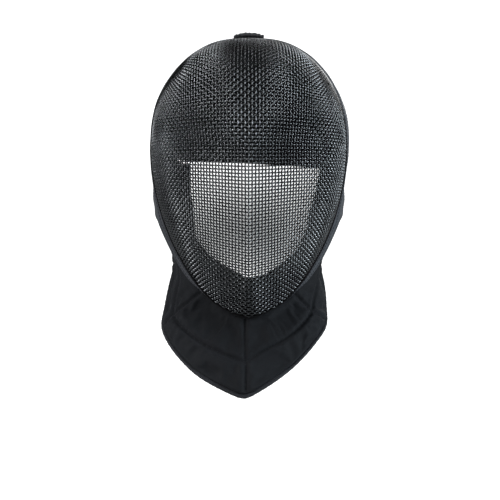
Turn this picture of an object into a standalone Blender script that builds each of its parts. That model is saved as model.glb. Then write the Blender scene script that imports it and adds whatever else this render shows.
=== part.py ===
# A fencing mask in metres, +Z up. It looks along -Y. Left and right are as seen from the front, so left is
# at -X and is the wearer's right hand.
# The origin is the head seat, where the top of the head meets the padding under the crown.

import bpy
import numpy as np

MM = 0.001

# The rim is the closed curve where the face mesh, the piping and the band meet.
# One row for each station from the crown to the chin, in millimetres. forward is towards the nose.
# The tables share one level and one upright plane, and the head seat lies this high and this far behind them.
SEAT_HEIGHT = 12.0
SEAT_BACK = 30.0
RIM_COLUMNS = ("height", "half_width", "forward")
RIM_ROWS = (
    (24.3, 0.0, -3.0),
    (18.7, 37.3, -2.0),
    (8.2, 56.2, -1.0),
    (-13.0, 77.0, 0.0),
    (-38.0, 90.3, 0.0),
    (-82.0, 97.5, 0.0),
    (-128.0, 93.1, 0.0),
    (-168.0, 81.4, 2.0),
    (-198.0, 66.8, 6.0),
    (-222.0, 50.2, 12.5),
    (-241.0, 30.6, 19.0),
    (-248.2, 16.8, 22.5),
    (-253.3, 0.0, 24.5),
)

# The face mesh bulges forward from the rim to the nose point.
NOSE_HEIGHT = -88.0
NOSE_FORWARD = 112.0
MESH_WALL = 2.0
MESH_INSET = 1.3
# forward falls as (1 - q^power)^root, where q is the share of the way from the nose point to the rim.
SIDE_POWER = 1.6
SIDE_ROOT = 0.5
CROWN_POWER = 2.7
CROWN_ROOT = 0.55
CHIN_POWER = 2.0
CHIN_ROOT = 1.0
# The keel is the ridge down the middle: the flanks fall away from it at the slope of each row.
KEEL_WIDTH = 22.0
KEEL_COLUMNS = ("height", "slope")
KEEL_ROWS = (
    (-66.0, 0.0),
    (-106.0, 0.2),
    (-129.0, 0.26),
    (-174.0, 0.4),
    (-198.0, 0.46),
    (-224.0, 0.6),
)

PIPING_RADIUS = 0.9
PIPING_BACK = 1.25

# The band runs back from the rim over the crown and the sides, and is a narrow trim from the ears to the chin.
# share is the way along the rim from the crown to the chin. shoulder and rear are how far the band stands
# outside the rim near its front and at its back edge.
BAND_WALL = 2.0
BAND_START = 3.0
SHOULDER_DEPTH = 12.0
BAND_COLUMNS = ("share", "depth", "shoulder_left", "shoulder_right", "rear_left", "rear_right")
BAND_ROWS = (
    (0.0, 58.0, 2.2, 2.2, 0.0, 0.0),
    (0.13, 64.0, 1.0, 3.8, 1.5, 4.4),
    (0.20, 70.0, 1.4, 3.4, 4.0, 9.0),
    (0.31, 78.0, 2.0, 3.0, 7.0, 12.6),
    (0.45, 80.0, 1.8, 1.8, 6.8, 10.4),
    (0.53, 80.0, 2.0, 2.0, 8.2, 8.4),
    (0.585, 78.0, 2.5, 2.5, 11.8, 12.4),
    (0.615, 62.0, 3.0, 3.0, 12.0, 12.6),
    (0.64, 30.0, 4.0, 4.0, 8.7, 8.8),
    (0.665, 11.0, 5.0, 5.0, 6.8, 6.8),
    (0.76, 9.0, 4.5, 4.5, 6.0, 6.0),
    (0.81, 8.0, 3.8, 3.8, 5.2, 5.2),
    (0.845, 7.0, 2.4, 2.4, 3.2, 3.2),
    (0.88, 6.0, 1.4, 1.4, 1.9, 1.9),
    (1.0, 5.0, 0.8, 0.8, 1.0, 1.0),
)

# The bib hangs from the back edge of the trim, ear to chin to ear, and ends in a point in front.
# share is where a row starts on the rim. left, right, forward and height place its outer edge, hem and all,
# and swell is how far the cloth bows out of the straight line between the two. BIB_TIP rounds the point.
BIB_WALL = 5.0
BIB_GAP = 1.1
BIB_LEAD = 0.35
BIB_TOP_SHARE = 0.35
BIB_COLUMNS = ("share", "left", "right", "forward", "height", "swell")
BIB_ROWS = (
    (0.600, 97.5, 97.5, -73.0, -162.0, 0.0),
    (0.617, 86.5, 85.0, -70.0, -188.0, 0.0),
    (0.645, 80.0, 76.5, -61.0, -208.0, -3.0),
    (0.710, 83.7, 79.5, -48.0, -228.0, -9.0),
    (0.800, 88.8, 82.3, -28.0, -248.0, 0.0),
    (0.870, 91.5, 82.0, -6.0, -266.0, 4.0),
    (0.905, 83.5, 70.0, 10.0, -282.0, 4.0),
    (0.940, 66.5, 51.0, 25.0, -300.0, 4.0),
    (0.970, 45.0, 29.0, 38.0, -315.0, 4.0),
    (1.000, 4.9, -4.9, 50.0, -334.0, 4.0),
)
BIB_TIP = 0.02
HEM_RADIUS = 2.2
HEM_GAP = 0.5

# The padding inside. The head pad spans the crown, the cheek and chin pads line the rest of the rim.
# inset is how far its side edges stay inside the rim. edge_back and edge_drop are how far they lie behind
# and below its middle.
HEAD_PAD_WALL = 10.0
HEAD_PAD_TILT = 0.055
HEAD_PAD_COLUMNS = ("forward", "height", "inset", "edge_back", "edge_drop")
HEAD_PAD_ROWS = (
    (16.0, -102.0, 4.4, 23.0, 0.0),
    (20.0, -62.0, 4.5, 27.0, 0.0),
    (20.0, -30.0, 5.0, 27.0, 0.0),
    (10.0, -2.0, 7.5, 18.0, 5.0),
    (-10.0, 16.0, 12.0, 6.0, 10.0),
    (-48.0, 17.0, 13.0, 0.0, 10.0),
)
# The rim pads reach level in from the rim down to the first of PAD_TURN, and towards PAD_CENTRE from the second.
PAD_INSET = 1.8
PAD_CENTRE = -125.0
PAD_TURN = (0.53, 0.66)
PAD_BACK = 1.6
RIM_PAD_WALL = 9.0
RIM_PAD_COLUMNS = ("share", "width_left", "width_right")
RIM_PAD_ROWS = (
    (0.48, 37.0, 23.0),
    (0.57, 33.5, 23.5),
    (0.64, 28.5, 24.0),
    (0.70, 24.5, 19.0),
    (0.75, 23.5, 20.5),
    (0.80, 27.0, 24.0),
    (0.88, 32.0, 31.5),
    (1.0, 38.0, 38.0),
)
CHEEK_TOP_LEFT = 0.488
CHEEK_TOP_RIGHT = 0.512
CHEEK_END = 0.694
CHIN_PAD_SHARE = 0.700

# The tab is a folded strap end that stands up on the band behind the crown.
TAB_WIDTH = 31.0
TAB_LENGTH = 40.0
TAB_RISE = 8.3
TAB_BACK = 8.0
TAB_SEAT = 5.2
TAB_WALL = 2.8


def spread(first, last, count):
    return np.linspace(first, last, count)


def columns(names, rows):
    return dict(zip(names, np.array(rows, float).T))


def through(knots, values, at):
    """A smooth curve through the rows that never overshoots them."""
    run = np.diff(knots)
    rise = np.diff(values) / run
    before, after = rise[:-1], rise[1:]
    same_way = before * after > 0
    total = np.where(same_way, before + after, 1.0)
    middle = np.where(same_way, 2.0 * before * after / total, 0.0)
    slope = np.concatenate([rise[:1], middle, rise[-1:]])
    i = np.clip(np.searchsorted(knots, at, side="right") - 1, 0, len(run) - 1)
    u = (at - knots[i]) / run[i]
    start = values[i] + slope[i] * run[i] * u
    end = values[i + 1] + slope[i + 1] * run[i] * (u - 1.0)
    blend = u * u * (3.0 - 2.0 * u)
    return start * (1.0 - blend) + end * blend


def rounded(knots, values, at):
    """A rounder curve through the rows, each slope being that of the parabola through three rows."""
    slope = np.gradient(values, knots)
    i = np.clip(np.searchsorted(knots, at, side="right") - 1, 0, len(knots) - 2)
    run = knots[i + 1] - knots[i]
    u = (at - knots[i]) / run
    rise = values[i + 1] - values[i]
    bend = (slope[i] * run - rise) * (1.0 - u) - (slope[i + 1] * run - rise) * u
    return values[i] + rise * u + u * (1.0 - u) * bend


def rim_loop():
    """The half rim's length, and its rows mirrored past the crown and past the chin."""
    half = columns(RIM_COLUMNS, RIM_ROWS)
    steps = np.hypot(np.diff(half["height"]), np.diff(half["half_width"]))
    share = np.concatenate([[0.0], np.cumsum(steps)]) / steps.sum()
    x, z, forward = half["half_width"], half["height"], half["forward"]
    knots = np.concatenate([-share[:0:-1], share, 2.0 - share[-2::-1]])
    return (
        steps.sum(),
        knots,
        np.concatenate([-x[:0:-1], x, -x[-2::-1]]),
        np.concatenate([forward[:0:-1], forward, forward[-2::-1]]),
        np.concatenate([z[:0:-1], z, z[-2::-1]]),
    )


RIM_LENGTH, RIM_KNOTS, RIM_X, RIM_FORWARD, RIM_Z = rim_loop()
RIM_WIDEST = RIM_KNOTS[RIM_X.argmax()]


def rim(share):
    """x, forward and height of the rim. share runs from 0 at the crown to 1 at the chin, and is below 0 at -X."""
    side = np.where(share < 0, -1.0, 1.0)
    at = np.abs(share)
    x = rounded(RIM_KNOTS, RIM_X, at) * side
    return x, rounded(RIM_KNOTS, RIM_FORWARD, at), rounded(RIM_KNOTS, RIM_Z, at)


def outward(share):
    """The direction out of the rim, square to it, in the plane of the face."""
    step = 0.004
    x0, _, z0 = rim(share - step)
    x1, _, z1 = rim(share + step)
    wrapped = share + step > 1.0
    x1 = np.where(wrapped, -rim(2.0 - share - step)[0], x1)
    length = np.hypot(x1 - x0, z1 - z0)
    return -(z1 - z0) / length, (x1 - x0) / length


def vector(x, forward, height):
    """Millimetres along the mask's own directions as metres in the frame."""
    x, forward, height = np.broadcast_arrays(x, forward, height)
    return np.stack([x, -forward, height], axis=-1) * MM


def place(x, forward, height):
    """A point given in millimetres, from the head seat."""
    return vector(x, forward + SEAT_BACK, height - SEAT_HEIGHT)


def face(q, share):
    """The face mesh: q is 0 at the nose point and 1 at the rim."""
    x_out, z_out = outward(share)
    rim_x, rim_forward, rim_height = rim(share)
    rim_x = rim_x - x_out * MESH_INSET
    rim_height = rim_height - z_out * MESH_INSET
    up = np.clip((rim_height - NOSE_HEIGHT) / (RIM_Z.max() - NOSE_HEIGHT), 0.0, 1.0)
    down = np.clip((NOSE_HEIGHT - rim_height) / (NOSE_HEIGHT - RIM_Z.min()), 0.0, 1.0)
    power = SIDE_POWER + (CROWN_POWER - SIDE_POWER) * up + (CHIN_POWER - SIDE_POWER) * down
    root = SIDE_ROOT + (CROWN_ROOT - SIDE_ROOT) * up + (CHIN_ROOT - SIDE_ROOT) * down**1.5
    bulge = np.clip(1.0 - q**power, 0.0, 1.0) ** root
    x = rim_x * q
    height = NOSE_HEIGHT + (rim_height - NOSE_HEIGHT) * q
    keel = columns(KEEL_COLUMNS, KEEL_ROWS)
    slope = np.interp(-height, -keel["height"], keel["slope"])
    fall = slope * KEEL_WIDTH * (1.0 - np.exp(-np.abs(x) / KEEL_WIDTH)) * (1.0 - q * q)
    return place(x, rim_forward + (NOSE_FORWARD - rim_forward) * bulge - fall, height)


def band(across, share):
    """The band's middle surface: across is 0 at its front edge and 1 at its back edge."""
    row = columns(BAND_COLUMNS, BAND_ROWS)
    at = np.abs(share)
    depth = through(row["share"], row["depth"], at)
    left = {name: through(row["share"], row[name + "_left"], at) for name in ("shoulder", "rear")}
    right = {name: through(row["share"], row[name + "_right"], at) for name in ("shoulder", "rear")}
    shoulder = np.where(share < 0, left["shoulder"], right["shoulder"])
    rear = np.where(share < 0, left["rear"], right["rear"])
    back = BAND_START + (depth - BAND_START) * across
    near = np.clip((back - BAND_START) / (SHOULDER_DEPTH - BAND_START), 0.0, 1.0)
    last = np.clip((depth - BAND_START) / (SHOULDER_DEPTH - BAND_START), 0.0, 1.0)
    out = shoulder * near * (2.0 - near) + (rear - shoulder * last * (2.0 - last)) * across
    x_out, z_out = outward(share)
    x, forward, height = rim(share)
    return place(x + x_out * out, forward - back, height + z_out * out)


def band_edge(share):
    """The back edge of the band, and the direction that leads on from it."""
    step = 0.002
    edge = band(1.0, share)
    onward = edge - band(0.9, share)
    along = band(1.0, share + step) - band(1.0, share - step)
    along /= np.linalg.norm(along, axis=-1, keepdims=True)
    onward -= along * np.sum(onward * along, axis=-1, keepdims=True)
    return edge, onward / np.linalg.norm(onward, axis=-1, keepdims=True)


def bib(down, around):
    """The bib's middle surface: around is -1 and 1 at the ears and 0 at the chin, down is 1 at the free edge."""
    row = columns(BIB_COLUMNS, BIB_ROWS)
    knots = np.linspace(0.0, 1.0, len(BIB_ROWS))
    at = 1.0 - np.abs(around)
    share = through(knots, row["share"], at)
    side = np.where(around < 0, -1.0, 1.0)
    edge, onward = band_edge(np.minimum(share, 0.997) * side)
    edge[..., 0] *= np.clip(np.abs(around) / 0.02, 0.0, 1.0)
    onward[..., 0] *= np.clip(np.abs(around) / 0.02, 0.0, 1.0)
    top = edge + onward * BIB_GAP * MM
    half = np.where(around < 0, rounded(knots, row["left"], at), rounded(knots, row["right"], at))
    soft = 1.0 - np.sqrt(around * around + BIB_TIP * BIB_TIP)
    outer = place(half * side, rounded(knots, row["forward"], soft), rounded(knots, row["height"], soft))
    drop = outer - top
    length = np.linalg.norm(drop, axis=-1, keepdims=True)
    lead = onward * length * BIB_LEAD * (down * (1.0 - down) ** 2)[..., None]
    drop *= 1.0 - (2.0 * HEM_RADIUS + HEM_GAP) * MM / length
    bow = rounded(knots, row["swell"], at) * np.sin(np.pi * down)
    swell = vector(side * np.sqrt(np.abs(around)) * bow, at * bow, 0.0)
    return top + drop * down[..., None] + lead + swell


def head_pad(across, up):
    """The head pad's middle surface: across is -1 and 1 at its sides, up runs from the brow over the crown."""
    row = columns(HEAD_PAD_COLUMNS, HEAD_PAD_ROWS)
    knots = np.linspace(0.0, 1.0, len(HEAD_PAD_ROWS))
    value = {name: through(knots, row[name], up) for name in HEAD_PAD_COLUMNS}
    curve = across * across
    rim_x, _, rim_height = rim(spread(0.0, RIM_WIDEST, 60))
    half = np.interp(value["edge_drop"] - value["height"], -rim_height, rim_x) - value["inset"]
    x = half * across
    tilt = HEAD_PAD_TILT * (1.0 - up) ** 2
    return place(
        x,
        value["forward"] - value["edge_back"] * curve,
        value["height"] - value["edge_drop"] * curve - tilt * x,
    )


def rim_pad(across, share):
    """A pad that lines the rim: across is 0 against the rim and 1 at its free edge towards the face."""
    row = columns(RIM_PAD_COLUMNS, RIM_PAD_ROWS)
    at = np.abs(share)
    left = through(row["share"], row["width_left"], at)
    right = through(row["share"], row["width_right"], at)
    width = np.where(share < 0, left, right)
    x, forward, height = rim(share)
    turn = np.clip((at - PAD_TURN[0]) / (PAD_TURN[1] - PAD_TURN[0]), 0.0, 1.0)
    lift = (PAD_CENTRE - height) * turn * turn * (3.0 - 2.0 * turn)
    reach = (PAD_INSET + width * across) / np.hypot(x, lift)
    back = RIM_PAD_WALL / 2.0 + PAD_BACK
    return place(x - x * reach, forward - back, height + lift * reach)


def tab(across, along):
    """The tab's middle surface: across is -1 and 1 at its sides, along runs back from the crown."""
    arch = 1.0 - np.abs(across) ** 2.5
    front = np.clip(along / 0.2, 0.0, 1.0)
    rise = TAB_SEAT + (TAB_RISE - TAB_SEAT) * arch * np.sqrt(front)
    forward, height = rim(across * TAB_WIDTH / 2.0 / RIM_LENGTH)[1:]
    return place(TAB_WIDTH / 2.0 * across, forward - TAB_BACK - TAB_LENGTH * along, height + rise)


def grid(across_count, along_count, wrap=False):
    """The quads of a grid whose first index runs fastest. wrap joins the last row to the first."""
    i = np.arange(across_count)[None, :]
    j = np.arange(along_count if wrap else along_count - 1)[:, None]
    i = i[:, :-1]
    here = j * across_count + i
    there = (j + 1) % along_count * across_count + i
    quads = np.stack([here, here + 1, there + 1, there], axis=-1)
    return quads.reshape(-1, 4).tolist()


def material(name, colour, roughness, metallic=0.0):
    made = bpy.data.materials.new(name)
    made.use_nodes = True
    shader = made.node_tree.nodes["Principled BSDF"]
    shader.inputs["Base Color"].default_value = (*colour, 1.0)
    shader.inputs["Roughness"].default_value = roughness
    shader.inputs["Metallic"].default_value = metallic
    return made


def sheet(name, points, wall, look, wrap=False, side=0.0, share_of_wall=None):
    """A closed wall on a grid of points, or to one side of it. share_of_wall is how thick it is at each."""
    rows, count = points.shape[:2]
    mesh = bpy.data.meshes.new(name)
    mesh.from_pydata(points.reshape(-1, 3).tolist(), [], grid(count, rows, wrap))
    mesh.materials.append(look)
    thing = bpy.data.objects.new(name, mesh)
    bpy.context.collection.objects.link(thing)
    weld = thing.modifiers.new("weld", "WELD")
    weld.merge_threshold = 0.00002
    thicken = thing.modifiers.new("wall", "SOLIDIFY")
    thicken.thickness = wall * MM
    thicken.offset = side
    thicken.use_even_offset = True
    if share_of_wall is not None:
        group = thing.vertex_groups.new(name="wall")
        for point, share in enumerate(np.broadcast_to(share_of_wall, points.shape[:2]).ravel()):
            group.add([point], share, "REPLACE")
        thicken.vertex_group = group.name
    mesh.shade_smooth()
    return thing


def tube(name, points, radius, look, closed):
    """A round cord along the points."""
    curve = bpy.data.curves.new(name, "CURVE")
    curve.dimensions = "3D"
    curve.bevel_depth = radius * MM
    curve.bevel_resolution = 1
    curve.use_fill_caps = not closed
    path = curve.splines.new("POLY")
    path.points.add(len(points) - 1)
    path.points.foreach_set("co", np.column_stack([points, np.ones(len(points))]).ravel())
    path.use_cyclic_u = closed
    curve.materials.append(look)
    thing = bpy.data.objects.new(name, curve)
    bpy.context.collection.objects.link(thing)
    return thing


def build_face_mesh():
    wire = material("wire", (0.03, 0.032, 0.035), 0.4, 0.8)
    share = spread(-1.0, 1.0, 57)[:-1]
    q = np.sin(spread(0.0, np.pi / 2.0, 15))
    sheet("face_mesh", face(q[None, :], share[:, None]), MESH_WALL, wire, wrap=True)


def build_piping():
    black = material("piping", (0.01, 0.01, 0.011), 0.7)
    share = spread(-1.0, 1.0, 101)[:-1]
    x, forward, height = rim(share)
    tube("rim_piping", place(x, forward - PIPING_BACK, height), PIPING_RADIUS, black, True)


def build_band():
    cover = material("cover", (0.05, 0.055, 0.065), 0.7)
    share = spread(-1.0, 1.0, 105)[:-1]
    across = np.array([0.0, 0.07, 0.15, 0.5, 1.0])
    sheet("rim_band", band(across[None, :], share[:, None]), BAND_WALL, cover, wrap=True)


def build_bib():
    cloth = material("bib", (0.02, 0.022, 0.027), 0.85)
    around = spread(-1.0, 1.0, 49)
    down = np.array([0.0, 0.05, 0.15, 0.3, 0.45, 0.6, 0.75, 0.9, 1.0])
    thick = np.interp(down, [0.0, 0.15], [BIB_TOP_SHARE, 1.0])
    points = bib(down[None, :], around[:, None])
    sheet("bib", points, BIB_WALL, cloth, side=-1.0, share_of_wall=thick[None, :])


def build_hem():
    cloth = material("hem", (0.015, 0.016, 0.02), 0.8)
    around = spread(-1.0, 1.0, 49)[1:-1]
    edge = bib(np.ones_like(around), around)
    onward = edge - bib(np.full_like(around, 0.95), around)
    along = np.gradient(edge, axis=0)
    along /= np.linalg.norm(along, axis=1, keepdims=True)
    onward -= along * np.sum(onward * along, axis=1, keepdims=True)
    onward /= np.linalg.norm(onward, axis=1, keepdims=True)
    inward = np.cross(along, onward)
    middle = edge + (onward * (HEM_RADIUS + HEM_GAP) + inward * BIB_WALL / 2.0) * MM
    tube("bib_hem", middle, HEM_RADIUS, cloth, False)


def build_pads():
    pad = material("padding", (0.012, 0.012, 0.014), 0.9)
    across = spread(-1.0, 1.0, 25)
    sheet("head_pad", head_pad(across[:, None], spread(0.0, 1.0, 16)[None, :]), HEAD_PAD_WALL, pad)
    width = spread(0.0, 1.0, 6)
    for name, top, end in (
        ("cheek_pad_left", -CHEEK_TOP_LEFT, -CHEEK_END),
        ("cheek_pad_right", CHEEK_TOP_RIGHT, CHEEK_END),
    ):
        share = spread(top, end, 15)
        sheet(name, rim_pad(width[None, :], share[:, None]), RIM_PAD_WALL, pad)
    share = np.concatenate([spread(CHIN_PAD_SHARE, 1.0, 14), -spread(CHIN_PAD_SHARE, 1.0, 14)[-2::-1]])
    sheet("chin_pad", rim_pad(width[None, :], share[:, None]), RIM_PAD_WALL, pad)


def build_tab():
    strap = material("strap", (0.02, 0.02, 0.022), 0.85)
    across = spread(-1.0, 1.0, 11)
    sheet("crown_tab", tab(across[:, None], spread(0.0, 1.0, 9)[None, :]), TAB_WALL, strap)


for old in list(bpy.data.objects):
    bpy.data.objects.remove(old)
build_face_mesh()
build_piping()
build_band()
build_bib()
build_hem()
build_pads()
build_tab()
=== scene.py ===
import math

import bpy
import numpy as np
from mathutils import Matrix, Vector


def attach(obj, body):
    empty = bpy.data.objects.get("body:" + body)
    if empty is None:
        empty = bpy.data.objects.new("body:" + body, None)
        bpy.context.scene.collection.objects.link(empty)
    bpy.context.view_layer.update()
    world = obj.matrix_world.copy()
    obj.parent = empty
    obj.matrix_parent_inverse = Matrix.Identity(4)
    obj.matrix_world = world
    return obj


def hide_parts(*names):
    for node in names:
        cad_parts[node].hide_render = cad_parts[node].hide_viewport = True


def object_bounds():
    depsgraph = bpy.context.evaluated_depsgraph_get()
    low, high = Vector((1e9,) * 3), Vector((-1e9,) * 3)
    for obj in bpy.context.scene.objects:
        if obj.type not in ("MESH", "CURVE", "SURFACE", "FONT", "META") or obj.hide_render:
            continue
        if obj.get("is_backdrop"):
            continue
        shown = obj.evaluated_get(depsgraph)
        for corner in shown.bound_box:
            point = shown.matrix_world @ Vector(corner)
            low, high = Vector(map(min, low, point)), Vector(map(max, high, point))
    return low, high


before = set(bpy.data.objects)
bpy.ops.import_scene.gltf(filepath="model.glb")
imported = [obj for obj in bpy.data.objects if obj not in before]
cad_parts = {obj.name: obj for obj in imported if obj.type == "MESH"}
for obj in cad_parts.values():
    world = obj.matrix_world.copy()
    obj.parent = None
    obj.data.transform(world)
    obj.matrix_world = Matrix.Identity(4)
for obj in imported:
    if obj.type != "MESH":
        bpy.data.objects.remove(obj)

cadLow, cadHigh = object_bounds()
scene = bpy.context.scene
print("frame loaded:", len(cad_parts), "nodes")

# The mask's own directions, in millimetres: x across, forward towards the nose, height up.
# The rim is the closed curve where mesh, cord and band meet. Its rows run from the crown to the chin.
mask = {
    "seatHeight": 12.0,
    "seatBack": 30.0,
    "within": (0.0, -60.0, -150.0),  # a place inside the mask
    "rimRows": [  # height, half width, forward
        (24.3, 0.0, -3.0), (18.7, 37.3, -2.0), (8.2, 56.2, -1.0), (-13.0, 77.0, 0.0),
        (-38.0, 90.3, 0.0), (-82.0, 97.5, 0.0), (-128.0, 93.1, 0.0), (-168.0, 81.4, 2.0),
        (-198.0, 66.8, 6.0), (-222.0, 50.2, 12.5), (-241.0, 30.6, 19.0), (-248.2, 16.8, 22.5),
        (-253.3, 0.0, 24.5),
    ],
}


def steady(knots, values, at):
    # cubic through the rows, slope = harmonic mean of the rises on both sides, so it never overshoots
    run = np.diff(knots)
    rise = np.diff(values) / run
    before, after = rise[:-1], rise[1:]
    total = np.where(before * after > 0, before + after, 1.0)
    middle = np.where(before * after > 0, 2.0 * before * after / total, 0.0)
    slope = np.concatenate([rise[:1], middle, rise[-1:]])
    i = np.clip(np.searchsorted(knots, at, side="right") - 1, 0, len(run) - 1)
    u = (at - knots[i]) / run[i]
    start = values[i] + slope[i] * run[i] * u
    end = values[i + 1] + slope[i + 1] * run[i] * (u - 1.0)
    blend = u * u * (3.0 - 2.0 * u)
    return start * (1.0 - blend) + end * blend


def flowing(knots, values, at):
    # cubic through the rows, slope = that of the parabola through three rows, so it is rounder
    slope = np.gradient(values, knots)
    i = np.clip(np.searchsorted(knots, at, side="right") - 1, 0, len(knots) - 2)
    run = knots[i + 1] - knots[i]
    u = (at - knots[i]) / run
    rise = values[i + 1] - values[i]
    bend = (slope[i] * run - rise) * (1.0 - u) - (slope[i + 1] * run - rise) * u
    return values[i] + rise * u + u * (1.0 - u) * bend


def rimCurve():
    # share of the way along the half rim = running length / whole length, rows mirrored past both ends
    height, half, forward = np.array(mask["rimRows"]).T
    steps = np.hypot(np.diff(height), np.diff(half))
    share = np.concatenate([[0.0], np.cumsum(steps)]) / steps.sum()
    return {
        "length": steps.sum(),
        "knots": np.concatenate([-share[:0:-1], share, 2.0 - share[-2::-1]]),
        "x": np.concatenate([-half[:0:-1], half, -half[-2::-1]]),
        "forward": np.concatenate([forward[:0:-1], forward, forward[-2::-1]]),
        "height": np.concatenate([height[:0:-1], height, height[-2::-1]]),
    }


rimTable = rimCurve()


def rimAt(share):
    # x, forward and height of the rim: share 0 crown, 1 chin, below 0 at -x
    at = np.abs(share)
    x = flowing(rimTable["knots"], rimTable["x"], at) * np.where(share < 0, -1.0, 1.0)
    forward = flowing(rimTable["knots"], rimTable["forward"], at)
    return x, forward, flowing(rimTable["knots"], rimTable["height"], at)


def rimOutward(share):
    # the rim's step turned a quarter turn in the plane of the face
    step = 0.004
    x0, _, z0 = rimAt(share - step)
    x1, _, z1 = rimAt(share + step)
    x1 = np.where(share + step > 1.0, -rimAt(2.0 - share - step)[0], x1)
    length = np.hypot(x1 - x0, z1 - z0)
    return -(z1 - z0) / length, (x1 - x0) / length


def stack(x, forward, height):
    return np.stack(np.broadcast_arrays(x, forward, height), axis=-1)


def toFrame(points):
    # x, forward, height in millimetres to metres from the head seat
    x, forward, height = np.moveaxis(points, -1, 0)
    return np.stack([x, -(forward + mask["seatBack"]), height - mask["seatHeight"]], axis=-1) * 0.001


def unit(vectors):
    return vectors / np.maximum(np.linalg.norm(vectors, axis=-1, keepdims=True), 1e-9)


def squareTo(along, out):
    # out without its part along the path
    return unit(out - (out * along).sum(-1, keepdims=True) * along)


def bell(ratio):
    return np.exp(-(ratio**2))


def roundEdge(ratio, least=0.0):
    # quarter circle: sqrt(1 - (1 - ratio)^2)
    return np.sqrt(np.clip(1.0 - (1.0 - np.clip(ratio, 0.0, 1.0)) ** 2, least, 1.0))


def runAlong(points, axis=0):
    # running length along one direction of a grid
    first = np.take(points, [0], axis)
    return np.cumsum(np.linalg.norm(np.diff(points, axis=axis, prepend=first), axis=-1), axis=axis)


def sheetNormals(points, wrapRows=False):
    # cross product of the steps along both directions of a grid
    padded = np.concatenate([points[-1:], points, points[:1]]) if wrapRows else points
    alongRows = np.gradient(padded, axis=0)
    if wrapRows:
        alongRows = alongRows[1:-1]
    return unit(np.cross(alongRows, np.gradient(points, axis=1)))


def gridFaces(rows, columns, wrapRows=False, wrapColumns=False):
    # corner numbers of every cell, and the same without wrapping, for the cloth map
    j, i = np.meshgrid(
        np.arange(rows if wrapRows else rows - 1),
        np.arange(columns if wrapColumns else columns - 1),
        indexing="ij",
    )
    nextJ, nextI = (j + 1) % rows, (i + 1) % columns
    corners = [(j, i), (j, nextI), (nextJ, nextI), (nextJ, i)]
    flat = [(j, i), (j, i + 1), (j + 1, i + 1), (j + 1, i)]
    wide = columns + 1 if wrapColumns else columns
    quads = np.stack([a * columns + b for a, b in corners], axis=-1).reshape(-1, 4)
    return quads, np.stack([a * wide + b for a, b in flat], axis=-1).reshape(-1, 4)


def facesIn(points, lists):
    # true where the volume that the faces enclose has a minus sign
    corner = points[np.concatenate([f[:, :3] for f in lists])]
    return np.einsum("ij,ij->i", corner[:, 0], np.cross(corner[:, 1], corner[:, 2])).sum() < 0


def newMesh(name, points, lists):
    mesh = bpy.data.meshes.new(name)
    mesh.from_pydata(points.tolist(), [], [row for f in lists for row in f.tolist()])
    return mesh


def newObject(name, data):
    thing = bpy.data.objects.new(name, data)
    scene.collection.objects.link(thing)
    return thing


def addPiece(name, points, lists, look, slot, clothMap=None):
    # points in metres, faces turned outwards
    if facesIn(points, lists):
        lists = [f[:, ::-1] for f in lists]
        clothMap = clothMap and [m[:, ::-1] for m in clothMap]
    mesh = newMesh(name, points, lists)
    if clothMap:
        layer = mesh.uv_layers.new(name="cloth")
        layer.data.foreach_set("uv", np.concatenate([m.reshape(-1) for m in clothMap]).astype(np.float32))
    mesh.materials.append(look)
    mesh.shade_smooth()
    piece = newObject(name, mesh)
    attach(piece, "root")
    return piece


# The face: a bulge from the rim to the nose point, with a ridge down its middle.
face = {
    "noseHeight": -88.0,
    "noseForward": 112.0,
    "inset": 0.8,
    "power": (1.6, 2.7, 2.0),  # at the sides, at the crown, at the chin
    "root": (0.5, 0.55, 1.0),
    "ridgeRows": [(-66.0, 0.0), (-106.0, 0.2), (-129.0, 0.26), (-174.0, 0.4), (-198.0, 0.46), (-224.0, 0.6)],
    "ridgeWidth": 22.0,
    "curves": 181,
    "steps": 97,
    "cuts": 241,  # places along a curve before they are spread evenly
}


def bulge(q, share):
    # forward = rim + (nose - rim) * (1 - q^power)^root - ridge slope * width * (1 - e^(-|x|/width)) * (1 - q^2)
    outX, outHeight = rimOutward(share)
    rimX, rimForward, rimHeight = rimAt(share)
    rimX = rimX - outX * face["inset"]
    rimHeight = rimHeight - outHeight * face["inset"]
    nose, crown, chin = face["noseHeight"], rimTable["height"].max(), rimTable["height"].min()
    up = np.clip((rimHeight - nose) / (crown - nose), 0.0, 1.0)
    down = np.clip((nose - rimHeight) / (nose - chin), 0.0, 1.0)
    sidePower, crownPower, chinPower = face["power"]
    power = sidePower + (crownPower - sidePower) * up + (chinPower - sidePower) * down
    sideRoot, crownRoot, chinRoot = face["root"]
    root = sideRoot + (crownRoot - sideRoot) * up + (chinRoot - sideRoot) * down**1.5
    rise = np.clip(1.0 - q**power, 0.0, 1.0) ** root
    x = rimX * q
    height = nose + (rimHeight - nose) * q
    ridgeHeight, ridgeSlope = np.array(face["ridgeRows"]).T
    slope = np.interp(-height, -ridgeHeight, ridgeSlope)
    fall = slope * face["ridgeWidth"] * (1.0 - np.exp(-np.abs(x) / face["ridgeWidth"])) * (1.0 - q * q)
    return stack(x, rimForward + (face["noseForward"] - rimForward) * rise - fall, height)


def faceCurves():
    # curves from the nose to the rim, sampled evenly by their running length
    q = np.sin(np.linspace(0.0, np.pi / 2.0, face["cuts"]))
    curves = bulge(q[None, :], np.linspace(0.0, 1.0, face["curves"])[:, None])
    lengths = runAlong(curves, 1)
    even = np.linspace(0.0, 1.0, face["steps"])
    rows = [
        np.stack([np.interp(even * length[-1], length, curve[:, k]) for k in range(3)], axis=-1)
        for curve, length in zip(curves, lengths)
    ]
    return np.array(rows), lengths[:, -1]


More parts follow.
